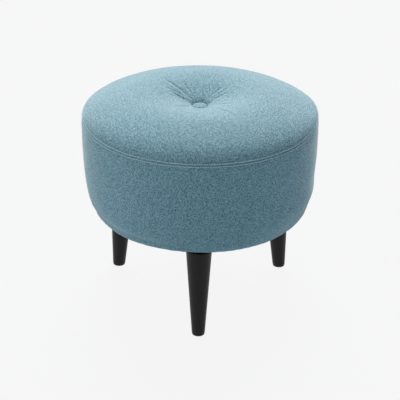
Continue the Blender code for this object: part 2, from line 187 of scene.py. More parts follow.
drum_radius = 0.1815
underside = 0.1654
underside_radius = 0.1827
widest_radius = 0.2100
widest_height = 0.3248
seam_radius = 0.2073
seam_height = 0.3425
crown_height = 0.0516
seat_flattening = 0.0065
flattening_radius = 0.0900
tuft_steep_depth = 0.0072
tuft_steep_spread = 0.0005
tuft_wide_depth = 0.0258
tuft_wide_reach = 0.1400
tuft_floor_radius = 0.0130
tuft_hole_radius = 0.0036
tuft_shift = (-0.0009, -0.0026)
hem_radius = 0.1500
columns = 400
join_below_seam = 0.0024
under_points = 80
swell_points = 600
lip_points = 60
seat_points = 1400
seat_point_crowding = 1.2
floor_points = 20


def hump(value, middle, spread):
    """A smooth hump: 1 at its middle, and fading on both sides."""
    return np.exp(-(((value - middle) / spread) ** 2))


def fade(value, start, width):
    """Goes from 0 at a start to 1 over a width, which is negative where it goes downward."""
    return np.clip((value - start) / width, 0.0, 1.0)


def seat_height(radius):
    """Height of the seat over the cloth, before its folds."""
    dome = crown_height * sqrt(max(0.0, 1 - (radius / seam_radius) ** 2))
    easing = seat_flattening * hump(radius, 0.0, flattening_radius)
    from_floor = max(0.0, radius - tuft_floor_radius)
    steep = tuft_steep_depth * np.exp(-from_floor / tuft_steep_spread)
    wide = tuft_wide_depth * max(0.0, 1 - radius / tuft_wide_reach) ** 2
    return seam_height + dome - easing - steep - wide


def form_line():
    """Fine line up the form, as radius and height, from the hem under the base to the tuft."""
    under = np.linspace(hem_radius, underside_radius, under_points)[:-1]
    line = [(r, underside) for r in under]
    band_width = widest_radius - underside_radius
    band_rise = widest_height - underside
    for turn in np.linspace(0, pi / 2, swell_points)[:-1]:
        radius = underside_radius + band_width * sin(turn)
        line.append((radius, underside + band_rise * (1 - cos(turn))))
    for share in np.linspace(0, 1, lip_points)[:-1]:
        radius = widest_radius - (widest_radius - seam_radius) * share**2
        line.append((radius, widest_height + (seam_height - widest_height) * share))
    for turn in np.linspace(pi / 2, 0, seat_points):
        share = sin(turn) ** seat_point_crowding
        radius = tuft_floor_radius + (seam_radius - tuft_floor_radius) * share
        line.append((radius, seat_height(radius)))
    floor = seat_height(tuft_floor_radius)
    inward = np.linspace(tuft_floor_radius, tuft_hole_radius, floor_points)[1:]
    line += [(r, floor) for r in inward]
    return np.array(line)


form = form_line()
form_step = np.hypot(*np.diff(form, axis=0).T)
form_run = np.concatenate([[0.0], np.cumsum(form_step)])
# The points of the line from the hem round the lower edge, and those from the band past the seam
edge_part = slice(0, 100)
climb_part = slice(200, 740)
join_height = seam_height - join_below_seam
join_run = np.interp(join_height, form[climb_part, 1], form_run[climb_part])
form_run -= join_run
form_slope = np.gradient(form, form_run, axis=0)
form_out = np.stack([form_slope[:, 1], -form_slope[:, 0]], axis=1)


def form_at(run):
    """Radius, height and outward direction of the form at distances from the seam's join."""
    spot = np.stack([np.interp(run, form_run, form[:, axis]) for axis in (0, 1)], axis=1)
    out = np.stack([np.interp(run, form_run, form_out[:, axis]) for axis in (0, 1)], axis=1)
    return spot, out / np.linalg.norm(out, axis=1)[:, None]


def rows_between(start, end, spacing):
    """Distances along the form, with a spacing that depends on the place."""
    rows = [start]
    while rows[-1] < end:
        rows.append(rows[-1] + spacing(rows[-1]))
    rows = np.array(rows)
    return start + (rows - start) * (end - start) / (rows[-1] - start)


# Folds in the seat's cloth, which run out from the tuft: depth, width, and points from the
# outer to the inner end, in millimetres. A negative depth raises the cloth to a ridge instead.
folds = (
    (2.0, 2.4, ((-68, 74), (-61, 67), (-41, 44.5), (-25, 27), (-17.5, 19), (-9, 11))),
    (1.5, 2.2, ((-63, 40), (-56, 36), (-43, 27), (-30, 18.5))),
    (1.9, 2.1, ((-55, 25), (-47, 21), (-33, 13.5), (-23.5, 8.5), (-11, 2))),
    (1.6, 2.0, ((-33, 64), (-29, 58), (-22, 43), (-15, 28), (-7, 15))),
    (1.3, 2.0, ((-18, 66), (-12.5, 42), (-7, 24))),
    (0.7, 2.0, ((17, 34), (9.5, 20), (4, 10))),
    (0.5, 2.0, ((35, 58), (23, 38), (18, 30))),
    (1.5, 2.2, ((44, 52), (39, 46), (27, 32), (16, 20), (8, 11))),
    (0.8, 2.2, ((55, 42), (48, 37), (33, 26), (17, 13))),
    (1.2, 2.5, ((50, 23), (43, 20.5), (33, 15), (24, 8), (10, -1))),
    (0.8, 2.2, ((30, 4), (22, 1), (12, -5))),
    (-1.2, 3.0, ((64, -91), (54, -77), (37, -55), (23, -35), (12, -16))),
    (-1.0, 3.0, ((60, -28), (50, -24), (34, -17), (25, -13))),
    (
        -1.5,
        2.6,
        ((-47, -45), (-41, -40.5), (-34, -36), (-26.5, -30.5), (-20, -24.5), (-11, -14.5)),
    ),
)
fold_rounding = 0.0004
fold_outer_width = 1.1
fold_narrowing = 0.3
fold_end_fullness = 0.6
fold_side_softness = 0.0006
ridge_distance = 2.2
ridge_share = 0.1
ridge_share_in_front = 0.2


def fold_drop(x, y):
    """How far the folds press the cloth in, each a valley between low ridges, the front one higher."""
    drop = np.zeros_like(x)
    for depth, width, points in folds:
        line = np.array(points) / 1000
        lengths = np.hypot(*np.diff(line, axis=0).T)
        whole = lengths.sum()
        away = np.ones_like(x)
        along = np.zeros_like(x)
        in_front = np.zeros_like(x)
        before = 0.0
        for start, end, length in zip(line[:-1], line[1:], lengths):
            step = (end - start) / length
            reach = (x - start[0]) * step[0] + (y - start[1]) * step[1]
            reach = np.clip(reach, 0.0, length)
            gap_x = x - start[0] - reach * step[0]
            gap_y = y - start[1] - reach * step[1]
            gap = np.hypot(gap_x, gap_y)
            across = (gap_y * step[0] - gap_x * step[1]) * (-1 if step[0] > 0 else 1)
            nearer = gap < away
            away = np.where(nearer, gap, away)
            along = np.where(nearer, (before + reach) / whole, along)
            in_front = np.where(nearer, across, in_front)
            before += length
        front = 0.5 + 0.5 * np.tanh(in_front / fold_side_softness)
        wide = width / 1000 * (fold_outer_width - fold_narrowing * along)
        swell = np.sin(pi * np.clip(along, 0, 1)) ** fold_end_fullness
        valley = np.exp(-(np.hypot(away, fold_rounding) - fold_rounding) / wide)
        ridge = ridge_share + ridge_share_in_front * front
        ridge = ridge * hump(away, ridge_distance * wide, wide)
        drop += depth / 1000 * swell * (valley - ridge)
    return drop


least_radius = 1e-6
front_gathering = 1.5
front_dip_depth = 0.0019
front_dip_radius = 0.021
front_dip_spread = 0.016
lip_depth = 0.0018
lip_start = 0.0135
lip_spread = 0.0030


def front_drop(x, y):
    """The tuft opens wider towards the front, where its lip lies lower."""
    radius = np.maximum(np.hypot(x, y), least_radius)
    front = np.clip(-y / radius, 0.0, 1.0) ** front_gathering
    dip = front_dip_depth * hump(radius, front_dip_radius, front_dip_spread)
    lip_roll = np.exp(-np.maximum(radius - lip_start, 0.0) / lip_spread)
    return front * (dip + lip_depth * lip_roll)


back_slope_share = 0.95
back_slope_at_sides = 0.5
back_slope_growth = 1.5
back_slope_spread = 0.0044


def back_slope(radius, turn):
    """Behind the button the cloth comes down to it in a softer slope than in front."""
    behind = np.clip(back_slope_at_sides + back_slope_growth * np.sin(turn), 0.0, 1.0)
    behind = back_slope_share * behind
    from_floor = np.maximum(radius - tuft_floor_radius, 0.0)
    soft = np.exp(-from_floor / back_slope_spread)
    return behind * tuft_steep_depth * (soft - np.exp(-from_floor / tuft_steep_spread))


# How far the cloth is drawn in above the hem, in tenths of a millimetre at turns in degrees from
# the right side round by the back
hem_turns = np.radians((0, 90, 150, 180, 195, 210, 230, 247, 270, 287, 305, 327, 345))
hem_drawn_in = np.array((0, 10, 30, 22, 24, 60, 42, 36, 4, -12, 0, 26, -6)) / 10000
drawn_in_height = 0.177
drawn_in_spread = 0.010
fuller_height = 0.215
fuller_spread = 0.018
fuller_left = 0.0004
fuller_right = 0.0032


def lower_edge_shift(x, y, z):
    """The hand-pulled cloth is drawn in unevenly above the hem, and is fuller at the right."""
    side = x / np.maximum(np.hypot(x, y), least_radius)
    left, right = np.clip(-side, 0.0, 1.0), np.clip(side, 0.0, 1.0)
    fuller = (fuller_left * left + fuller_right * right) * hump(z, fuller_height, fuller_spread)
    drawn_in = np.interp(np.arctan2(y, x), hem_turns, hem_drawn_in, period=tau)
    return fuller - drawn_in * hump(z, drawn_in_height, drawn_in_spread)


def unevenness(x, y, z, size, amount):
    """Slow uneven swelling, as of hand-filled padding."""
    spots = zip(x.ravel(), y.ravel(), z.ravel())
    values = [noise.noise(Vector(spot) / size) for spot in spots]
    return amount * np.reshape(values, x.shape)


seam_rise_right = 0.0080
seam_rise_left = 0.0062
seam_rise_aside = 0.20
seam_rise_power = 8
seam_rise_spread = 0.03


def seam_rise(x, run):
    """The seam was sewn a little higher at both sides, most at the right."""
    rise = np.where(x > 0, seam_rise_right, seam_rise_left)
    rise = rise * np.abs(x / seam_rise_aside) ** seam_rise_power
    return rise * hump(run, 0.0, seam_rise_spread)


# Where the tuft's forms set in above the join, how far its shift spreads, and where the slow
# unevenness sets in outside it
seat_start = 0.004
seat_start_width = 0.02
shift_spread = 0.06
uneven_radius = 0.014
uneven_width = 0.02


def form_grid(run, depth=0.0, sides=columns, folded=1.0, swell=None, turn=None):
    """Points round the form at distances from the join, moved in by a depth."""
    spot, out = form_at(run)
    if turn is None:
        turn = np.linspace(0, tau, sides, endpoint=False)
    sides = len(turn)
    radius = np.repeat(spot[:, :1], sides, axis=1)
    height = np.repeat(spot[:, 1:], sides, axis=1)
    on_seat = fade(run, seat_start, seat_start_width)[:, None]
    aside = hump(radius, 0.0, shift_spread) * on_seat
    x = radius * np.cos(turn) + tuft_shift[0] * aside
    y = radius * np.sin(turn) + tuft_shift[1] * aside
    drop = on_seat * (folded * fold_drop(x, y) + front_drop(x, y))
    lift = unevenness(x, y, height, size=0.06, amount=0.0007)
    lift = lift + unevenness(x, y, height, size=0.02, amount=0.00025)
    lift = lift * fade(radius, uneven_radius, uneven_width)
    lift = lift + lower_edge_shift(x, y, height) - drop - depth
    if swell is not None:
        lift = lift + swell(run[:, None], turn[None, :])
    radius = radius + out[:, :1] * lift
    height = height + out[:, 1:] * lift + seam_rise(x, run[:, None])
    height = height - on_seat * back_slope(spot[:, :1], turn)
    x = radius * np.cos(turn) + tuft_shift[0] * aside
    y = radius * np.sin(turn) + tuft_shift[1] * aside
    return np.stack([x, y, height], axis=2)


def grid_faces(rows, sides, closed_rows=False):
    """Four-sided faces over a ring grid, wound to face outward from the bottom row up."""
    faces = []
    for row in range(rows if closed_rows else rows - 1):
        after = (row + 1) % rows
        for side in range(sides):
            beside = (side + 1) % sides
            faces.append(
                (
                    row * sides + side,
                    row * sides + beside,
                    after * sides + beside,
                    after * sides + side,
                )
            )
    return faces


def new_piece(name, points, faces, material):
    """A smooth-shaded mesh piece that rides on the stool."""
    mesh = bpy.data.meshes.new(name)
    mesh.from_pydata([tuple(point) for point in points], [], faces)
    mesh.shade_smooth()
    mesh.materials.append(material)
    piece = bpy.data.objects.new(name, mesh)
    bpy.context.scene.collection.objects.link(piece)
    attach(piece, "root")
    return piece


def ring_solid(name, grids, material):
    """A closed piece whose section runs round through the given grids of rings."""
    points = np.concatenate(grids)
    rows, sides = points.shape[:2]
    return new_piece(
        name, points.reshape(-1, 3), grid_faces(rows, sides, True), material
    )


# Side padding and seat foam
# A strip of flexible foam is glued round the drum and over its lower edge. A thicker, crowned
# foam disc lies on the top board, with a hole in the middle for the tufting twine.

top_board_top = 0.3183
seat_bottom = 0.3186
cloth_thickness = 0.0018
wadding_thickness = 0.0060
fit_gap = 0.0003
padding_depth = cloth_thickness + fit_gap
foam_depth = padding_depth + wadding_thickness + fit_gap
soft_sides = 120
foam_fold_share = 0.6
seat_run = np.interp(seat_bottom, form[climb_part, 1], form_run[climb_part])
edge_run = np.interp(drum_radius, form[edge_part, 0], form_run[edge_part])
tuft_run = form_run[-1]
padding_start = edge_run + 0.002
padding_end = seat_run - 0.001
seat_layer_start = seat_run + 0.003

foam, tree, shader = new_finish("foam", roughness=0.95, specular=0.2)
place = node(tree, "TexCoord").outputs["Object"]
cells = node(tree, "TexVoronoi", {"Vector": place, "Scale": 1100.0}).outputs["Distance"]
foam_colour = ramp(tree, cells, (0.1, (0.60, 0.53, 0.36)), (0.6, (0.84, 0.78, 0.60)))
tree.links.new(foam_colour, shader.inputs["Base Color"])
bump(tree, shader, cells, distance=0.0004)


def soft_rows(start, end, spacing=0.006):
    """Evenly spaced distances along the form, for the layers under the cloth."""
    return rows_between(start, end, lambda run: spacing)


def level_ring(radius, height):
    """One ring of points at a radius and height, as a grid of one row."""
    turn = np.linspace(0, tau, soft_sides, endpoint=False)
    ring = [radius * np.cos(turn), radius * np.sin(turn), np.full(soft_sides, height)]
    return np.stack(ring, axis=1)[None]


under_band = soft_rows(padding_start, padding_end)
padding_top = form_at(np.array([seat_run]))[0][0, 0] - padding_depth
side_padding = ring_solid(
    "side_padding_foam",
    [
        level_ring(drum_radius + fit_gap, base_board_bottom),
        form_grid(under_band, padding_depth, soft_sides),
        level_ring(padding_top, top_board_top),
        level_ring(drum_radius + fit_gap, top_board_top),
    ],
    foam,
)
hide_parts("side_padding")

foam_rows = soft_rows(seat_layer_start, tuft_run)
seat_foam = ring_solid(
    "seat_foam_disc",
    [
        level_ring(padding_top - wadding_thickness - fit_gap, seat_bottom),
        form_grid(foam_rows, foam_depth, soft_sides, foam_fold_share),
        level_ring(tuft_hole_radius, seat_bottom),
    ],
    foam,
)
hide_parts("seat_foam")

# Wadding
# A layer of white polyester wadding over the foam, pulled down over the seat's edge, keeps the
# cover from rubbing and rounds the folds.

white_fibre, tree, shader = new_finish("white_fibre", roughness=0.95, specular=0.2)
place = node(tree, "TexCoord").outputs["Object"]
fluff = speckle(tree, place, stretch=(420, 420, 420), detail=7.0)
fibre_colour = ramp(tree, fluff, (0.35, (0.74, 0.74, 0.72)), (0.6, (0.92, 0.92, 0.90)))
tree.links.new(fibre_colour, shader.inputs["Base Color"])
bump(tree, shader, fluff, distance=0.0012)

wadding_rows = soft_rows(seat_layer_start, tuft_run, spacing=0.004)
seat_wadding = ring_solid(
    "seat_wadding_layer",
    [
        level_ring(padding_top, seat_bottom),
        form_grid(wadding_rows, padding_depth, soft_sides),
        form_grid(wadding_rows[::-1], foam_depth - fit_gap, soft_sides, foam_fold_share),
        level_ring(padding_top - wadding_thickness, seat_bottom),
    ],
    white_fibre,
)
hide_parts("seat_wadding")

# Side cover
# A strip of teal melange cloth, felt-like with a close twill, is sewn into a ring with one
# upright seam at the back, pulled tight over the padding and stapled in small pleats below.

# The seam's profile across the join: its ridges and dips stand higher above it than below it
stitch_offset = 0.0024
join_depth = 0.0006
join_spread = 0.0010
ridge_spread = 0.0008
dip_offset = 0.0044
dip_spread = 0.0010
ridge_above, ridge_below = 0.00050, 0.00016
dip_above, dip_below = 0.00065, 0.00015


def sewn(run):
    """The double-stitched seam: a shallow join between two rounded ridges that carry the rows."""
    ridge = np.where(run > 0, ridge_above, ridge_below)
    ridge = ridge * hump(np.abs(run), stitch_offset, ridge_spread)
    dip = np.where(run > 0, dip_above, dip_below) * hump(np.abs(run), dip_offset, dip_spread)
    return -join_depth * hump(run, 0.0, join_spread) + ridge - dip


# Spacing of the cover's rows within distances from the join, and farther in on the seat
seam_spacings = ((0.0045, 0.00042), (0.0075, 0.0009))
tuft_reach, tuft_spacing = 0.035, 0.0008
seat_reach, seat_spacing = 0.105, 0.0015
wide_spacing = 0.0027


def cover_spacing(run):
    """Close rows by the seam and in the tuft, wider ones between."""
    for reach, spacing in seam_spacings:
        if abs(run) < reach:
            return spacing
    if run > tuft_run - tuft_reach:
        return tuft_spacing
    return seat_spacing if run > seat_reach else wide_spacing


def cloth_map(piece, rows, sides, across, up):
    """Lays the cloth's flat coordinates, in metres, over a ring grid's faces."""
    layer = piece.data.uv_layers.new(name="cloth")
    flat = []
    for row in range(rows - 1):
        for side in range(sides):
            for r, c in ((row, side), (row, side + 1), (row + 1, side + 1), (row + 1, side)):
                flat += [across[r, c], up[r, c]]
    layer.data.foreach_set("uv", flat)


def give_thickness(piece, thickness):
    """Gives a cloth surface its thickness, towards its inner side."""
    thicken = piece.modifiers.new("cloth_thickness", "SOLIDIFY")
    thicken.thickness = thickness
    thicken.offset = -1.0


teal_light = (0.374, 0.582, 0.662)
teal_mid = (0.150, 0.305, 0.390)
teal_dark = (0.043, 0.121, 0.182)

teal_cloth, tree, shader = new_finish("teal_cloth", roughness=0.92, specular=0.22)
shader.inputs["Sheen Weight"].default_value = 0.68
shader.inputs["Sheen Roughness"].default_value = 0.35
shader.inputs["Sheen Tint"].default_value = (0.84, 0.96, 1.0, 1.0)
lay = node(tree, "UVMap", uv_map="cloth").outputs["UV"]
weave = node(
    tree, "Mapping", {"Vector": lay, "Rotation": (0, 0, 0.6), "Scale": (380, 365, 1)}
)
nubs = node(
    tree,
    "TexVoronoi",
    {"Vector": weave.outputs["Vector"], "Scale": 1.0, "Randomness": 0.7},
    voronoi_dimensions="2D",
)
fibre_lay = node(tree, "Mapping", {"Vector": lay, "Scale": (700, 640, 1)})
fibres = node(
    tree,
    "TexVoronoi",
    {"Vector": fibre_lay.outputs["Vector"], "Scale": 1.0, "Randomness": 0.9},
    voronoi_dimensions="2D",
)
nub_shade = node(tree, "SeparateColor", {"Color": fibres.outputs["Color"]}).outputs["Red"]
fuzz = speckle(tree, lay, stretch=(1500, 1500, 1), detail=3.0)
# The cloth's colour is lighter at the middle of each nub and darker at its edge, where the bump sinks:
# painted shade between the nubs, mixed with the random flecks of the yarns' own tone.
rounded = node(
    tree,
    "MapRange",
    {"Value": nubs.outputs["Distance"], "From Max": 0.8, "To Min": 1.0, "To Max": 0.0},
).outputs["Result"]
shade = node(tree, "Mix", {"Factor": 0.58, 2: nub_shade, 3: rounded}, data_type="FLOAT")
shade = node(tree, "Mix", {"Factor": 0.1, 2: shade.outputs[0], 3: fuzz}, data_type="FLOAT")
melange = ramp(
    tree, shade.outputs[0], (0.12, teal_dark), (0.48, teal_mid), (0.88, teal_light)
)
tree.links.new(melange, shader.inputs["Base Color"])
nub_height = node(tree, "Math", {0: rounded, 1: fuzz}, operation="ADD").outputs["Value"]
bump(tree, shader, nub_height, distance=0.00036, strength=0.8)

side_rows = rows_between(form_run[0], 0.0, cover_spacing)
# Pleats under the base, which start outside the dust cover, and the upright seam at the back
pleat_depth = 0.0008
pleat_count = 64
pleat_wander = 2.3
pleat_wander_count = 5
pleats_top = 0.1662
pleats_top_width = 0.0006
pleats_inner_radius = 0.1765
pleats_inner_width = 0.003
upright_dip = 0.0011
upright_dip_spread = 0.0022
upright_ridge = 0.0004
upright_ridge_offset = 0.0050
upright_ridge_spread = 0.0024
upright_start = 0.002
upright_start_width = 0.004


def side_swell(run, turn):
    """Seam, pleats under the base and the upright seam at the back."""
    spot, _ = form_at(run[:, 0])
    radius, height = spot[:, :1], spot[:, 1:]
    under = fade(height, pleats_top, -pleats_top_width)
    beyond_dust_cover = fade(radius, pleats_inner_radius, pleats_inner_width)
    wander = pleat_wander * np.sin(pleat_wander_count * turn)
    gathers = 0.5 + 0.5 * np.sin(pleat_count * turn + wander)
    pleats = pleat_depth * under * beyond_dust_cover * gathers
    from_back = (turn - pi / 2 + pi) % tau - pi
    beside = from_back * widest_radius
    upright = -upright_dip * hump(beside, 0.0, upright_dip_spread)
    ridge = hump(np.abs(beside), upright_ridge_offset, upright_ridge_spread)
    upright = upright + upright_ridge * ridge
    on_band = fade(-run, upright_start, upright_start_width)
    return sewn(run) + pleats + upright * on_band


side_points = form_grid(side_rows, swell=side_swell)
side_cover = new_piece(
    "side_cover",
    side_points.reshape(-1, 3),
    grid_faces(len(side_rows), columns),
    teal_cloth,
)
round_run = np.linspace(0, tau * widest_radius, columns + 1)
cloth_map(
    side_cover,
    len(side_rows),
    columns,
    np.repeat(round_run[None], len(side_rows), axis=0),
    np.repeat(side_rows[:, None], columns + 1, axis=1),
)
give_thickness(side_cover, cloth_thickness)
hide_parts("cover_side")

leg_ways = (-90, 30, 150)
leg_clearance = 11
hem_staple_count = 54
hem_staple_circle = 0.1630
hem_staple_height = 0.1653
wire_section = (
    (-0.00045, -0.00025),
    (0.00045, -0.00025),
    (0.00045, 0.00025),
    (-0.00045, 0.00025),
)
# Places along a staple's wire in millimetres, across and up, and where its outside faces there
staple_path = (
    (-5.0, 8.0),
    (-5.0, 0.6),
    (-4.8, 0.15),
    (-4.3, 0.0),
    (4.3, 0.0),
    (4.8, 0.15),
    (5.0, 0.6),
    (5.0, 8.0),
)
staple_outside = ((1, 0), (1, 0.1), (0.7, 0.7), (0, 1), (0, 1), (-0.7, 0.7), (-1, 0.1), (-1, 0))
staple_skew = 0.12
staple_skew_step = 7.1


def staple_row(name, count, circle, height, ways_left_out=()):
    """A ring of wire staples, 10 mm across, driven up into the base board."""
    corners = len(wire_section)
    to_last_ring = corners * (len(staple_path) - 1)
    points, faces = [], []
    for number in range(count):
        way = 360 * number / count
        to_legs = [abs((way - left_out + 180) % 360 - 180) for left_out in ways_left_out]
        if any(to_leg < leg_clearance for to_leg in to_legs):
            continue
        skew = staple_skew * sin(staple_skew_step * number)
        out = Vector((cos(radians(way)), sin(radians(way)), 0.0))
        along = Vector((-sin(radians(way) + skew), cos(radians(way) + skew), 0.0))
        side = along.cross(Vector((0, 0, 1)))
        first = len(points)
        for (across, rise), (lean, level) in zip(staple_path, staple_outside):
            centre = out * circle + along * across / 1000 + Vector((0, 0, height + rise / 1000))
            outside = along * lean + Vector((0, 0, level))
            for wide, thick in wire_section:
                points.append(centre + side * wide + outside * thick)
        for here in range(first, first + to_last_ring, corners):
            there = here + corners
            for corner in range(corners):
                beside = (corner + 1) % corners
                faces.append((here + corner, here + beside, there + beside, there + corner))
        faces.append(tuple(first + corner for corner in reversed(range(corners))))
        faces.append(tuple(first + to_last_ring + corner for corner in range(corners)))
    staples = new_piece(name, points, faces, zinc_steel)
    staples.data.set_sharp_from_angle(angle=radians(40))
    return staples


staple_row("hem_staples", hem_staple_count, hem_staple_circle, hem_staple_height)

# Top cover
# A round panel of the same cloth, sewn to the side strip and stitched down on both sides of
# the join. The tuft draws it into a funnel, and the spare cloth lies in folds round it.

top_rows = rows_between(0.0, tuft_run, cover_spacing)
pucker_turn = radians(224.7)
pucker_depth = 0.0013
pucker_width = 0.0036
pucker_run = 0.0056
pucker_height = 0.0013


def top_swell(run, turn):
    """The seam, and one small pucker above it at the front left."""
    beside = (turn - pucker_turn) * seam_radius / pucker_width
    above_seam = (run - pucker_run) / pucker_height
    return sewn(run) - pucker_depth * np.exp(-(beside**2) - above_seam**2)


top_points = form_grid(top_rows, swell=top_swell)
top_cover = new_piece(
    "top_cover",
    top_points.reshape(-1, 3),
    grid_faces(len(top_rows), columns),
    teal_cloth,
)
# The cloth's flat coordinates are plain distances inside this radius and follow the slope outside
plan_radius = 0.13
top_spots, _ = form_at(top_rows)
steps_out = np.hypot(*np.diff(top_spots[::-1], axis=0).T)
plain_steps = -np.diff(top_spots[:, 0])[::-1]
on_slope = top_spots[::-1][1:, 0] > plan_radius
reach = np.cumsum(np.where(on_slope, steps_out, plain_steps))[::-1]
reach = np.append(reach, 0.0)[:, None] + tuft_hole_radius
wrapped_turn = np.linspace(0, tau, columns + 1)
cloth_map(
    top_cover,
    len(top_rows),
    columns,
    reach * np.cos(wrapped_turn),
    reach * np.sin(wrapped_turn),
)
give_thickness(top_cover, cloth_thickness)
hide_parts("cover_top")

# Topstitching
# Two rows of heavy thread, a shade lighter than the cloth, one on each side of the join. Each
# stitch lies between two needle holes and presses a little into the cloth.

stitch_length = 0.0034
stitch_pitch = 0.0042
thread_radius = 0.00065
thread_sits = 0.00030
thread_end_share = 0.4
thread_end_dip = 0.5
thread_bend = 4
stitch_rings = 7
thread_corners = 6

thread, tree, shader = new_finish("thread", roughness=0.70, specular=0.3)
place = node(tree, "TexCoord").outputs["Object"]
strands = speckle(tree, place, stretch=(1500, 1500, 1500), detail=2.0)
thread_colour = ramp(tree, strands, (0.3, (0.40, 0.60, 0.66)), (0.7, (0.58, 0.76, 0.81)))
tree.links.new(thread_colour, shader.inputs["Base Color"])
bump(tree, shader, strands, distance=0.0001)


def stitch_row(run):
    """Points and faces of one ring of stitches at a distance from the join."""
    spot, out = form_at(np.array([run]))
    count = round(tau * spot[0, 0] / stitch_pitch)
    out_way, up_way = out[0]
    shares = np.linspace(-0.5, 0.5, stitch_rings)
    middles = tau * (np.arange(count) + 0.5) / count
    turns = (middles[:, None] + shares * stitch_length / spot[0, 0]).ravel()
    line = form_grid(np.array([run]), swell=lambda away, _: sewn(away), turn=turns)[0]
    points, faces = [], []
    for index, (turn, place) in enumerate(zip(turns, line)):
        share = abs(2 * shares[index % stitch_rings])
        thick = thread_radius * (thread_end_share if share == 1 else 1.0)
        bend = (thread_sits + thread_end_dip * thread_radius) * share**thread_bend
        lift = thread_sits - bend
        outward = np.array([out_way * cos(turn), out_way * sin(turn), up_way])
        upward = np.array([-up_way * cos(turn), -up_way * sin(turn), out_way])
        for corner in range(thread_corners):
            way = tau * corner / thread_corners
            points.append(place + outward * (lift + thick * cos(way)) + upward * thick * sin(way))
    stitch_faces = grid_faces(stitch_rings, thread_corners)
    for stitch in range(count):
        first = stitch * stitch_rings * thread_corners
        last = first + (stitch_rings - 1) * thread_corners
        faces += [tuple(first + point for point in face) for face in stitch_faces]
        faces.append(tuple(first + corner for corner in reversed(range(thread_corners))))
        faces.append(tuple(last + corner for corner in range(thread_corners)))
    return points, faces


stitch_rows = {"topstitch_upper": stitch_offset, "topstitch_lower": -stitch_offset}
for row_name, row_run in stitch_rows.items():
    row_points, row_faces = stitch_row(row_run)
    new_piece(row_name, row_points, row_faces, thread)

# Tufting button
# A domed button covered in the same cloth, pressed into the seat. Its steel back plate has a
# wire eye, and waxed twine runs from the eye through the foam to a washer under the top board.

button_radius = 0.0131
button_height = 0.0058
button_rim_height = 0.0034
button_base = seat_height(tuft_floor_radius) + fit_gap
button_rows = 22
button_sides = 64
recess_height = 0.0022
recess_inset = 0.0022
rim_foot_inset = 0.0020
rim_foot_height = 0.0002
rim_rows = 6
rim_roll_start = -0.45 * pi
rim_roll_width = 0.0012
rim_roll_share = 0.95
button_squareness = 0.6
gather_depth = 0.00022
gather_count = 15
gather_rings = 12
button_cloth_place = 0.35


def button_section():
    """Section of the covered button: a recess under it, a rolled edge and a flattish top."""
    section = [
        (button_radius - recess_inset, recess_height),
        (button_radius - rim_foot_inset, rim_foot_height),
    ]
    for turn in np.linspace(rim_roll_start, 0.0, rim_rows):
        inset = rim_roll_width * (1 - cos(turn))
        height = button_rim_height * (1 + rim_roll_share * sin(turn))
        section.append((button_radius - inset, height))
    for turn in np.linspace(0.0, pi / 2, button_rows)[1:-1]:
        rise = (button_height - button_rim_height) * sin(turn)
        radius = button_radius * cos(turn) ** button_squareness
        section.append((radius, button_rim_height + rise))
    return section


section = button_section()
button_points = []
for index, (radius, rise) in enumerate(section):
    for side in range(button_sides):
        turn = tau * side / button_sides
        gather = gather_depth * sin(gather_count * turn) * max(0.0, 1 - index / gather_rings)
        button_points.append(
            (
                (radius + gather) * cos(turn) + tuft_shift[0],
                (radius + gather) * sin(turn) + tuft_shift[1],
                button_base + rise,
            )
        )
crown = len(button_points)
button_points += [
    (*tuft_shift, button_base + button_height),
    (*tuft_shift, button_base + recess_height),
]
button_faces = grid_faces(len(section), button_sides)
last = (len(section) - 1) * button_sides
for side in range(button_sides):
    beside = (side + 1) % button_sides
    button_faces.append((last + side, last + beside, crown))
    button_faces.append((beside, side, crown + 1))
button = new_piece("covered_button", button_points, button_faces, teal_cloth)
layer = button.data.uv_layers.new(name="cloth")
for loop in button.data.loops:
    spot = button.data.vertices[loop.vertex_index].co
    layer.data[loop.index].uv = (spot.x + button_cloth_place, spot.y)
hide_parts("tuft_button")

waxed_twine, tree, shader = new_finish("waxed_twine", roughness=0.6)
place = node(tree, "TexCoord").outputs["Object"]
lay_of_twine = speckle(tree, place, stretch=(3000, 3000, 900), detail=2.0)
twine_colour = ramp(tree, lay_of_twine, (0.3, (0.52, 0.44, 0.29)), (0.7, (0.80, 0.72, 0.54)))
tree.links.new(twine_colour, shader.inputs["Base Color"])
bump(tree, shader, lay_of_twine, distance=0.0001)
wear("tuft_twine", waxed_twine)

# Legs
# Three turned beech legs, tapered and a little splayed, sprayed with black satin lacquer that
# lets a faint grain through. A hanger bolt in the top of each screws into the base board.

leg_bottom = 0.0023
leg_length = 0.1617
leg_top_radius = 0.0229
leg_foot_radius = 0.0115
leg_top_circle = 0.1648
leg_splay = 0.0100
leg_sides = 72
# Insets and distances from the end of the rounded edges at the foot and at the top
foot_rounding = ((0.0008, 0.0), (0.0005, 0.0001), (0.0001, 0.0004), (0.0, 0.0009))
top_rounding = ((0.0002, 0.0004), (0.0006, 0.0))

black_lacquer, tree, shader = new_finish("black_lacquer", roughness=0.42, specular=0.20)
place = node(tree, "TexCoord").outputs["Object"]
pores = speckle(tree, place, stretch=(900, 900, 30), detail=5.0)
haze = speckle(tree, place, stretch=(60, 60, 60), detail=3.0)
lacquer_colour = ramp(tree, pores, (0.3, (0.009, 0.009, 0.010)), (0.7, (0.016, 0.016, 0.017)))
tree.links.new(lacquer_colour, shader.inputs["Base Color"])
lacquer_roughness = node(tree, "MapRange", {"Value": haze, "To Min": 0.36, "To Max": 0.50})
tree.links.new(lacquer_roughness.outputs["Result"], shader.inputs["Roughness"])
bump(tree, shader, pores, distance=0.00006)

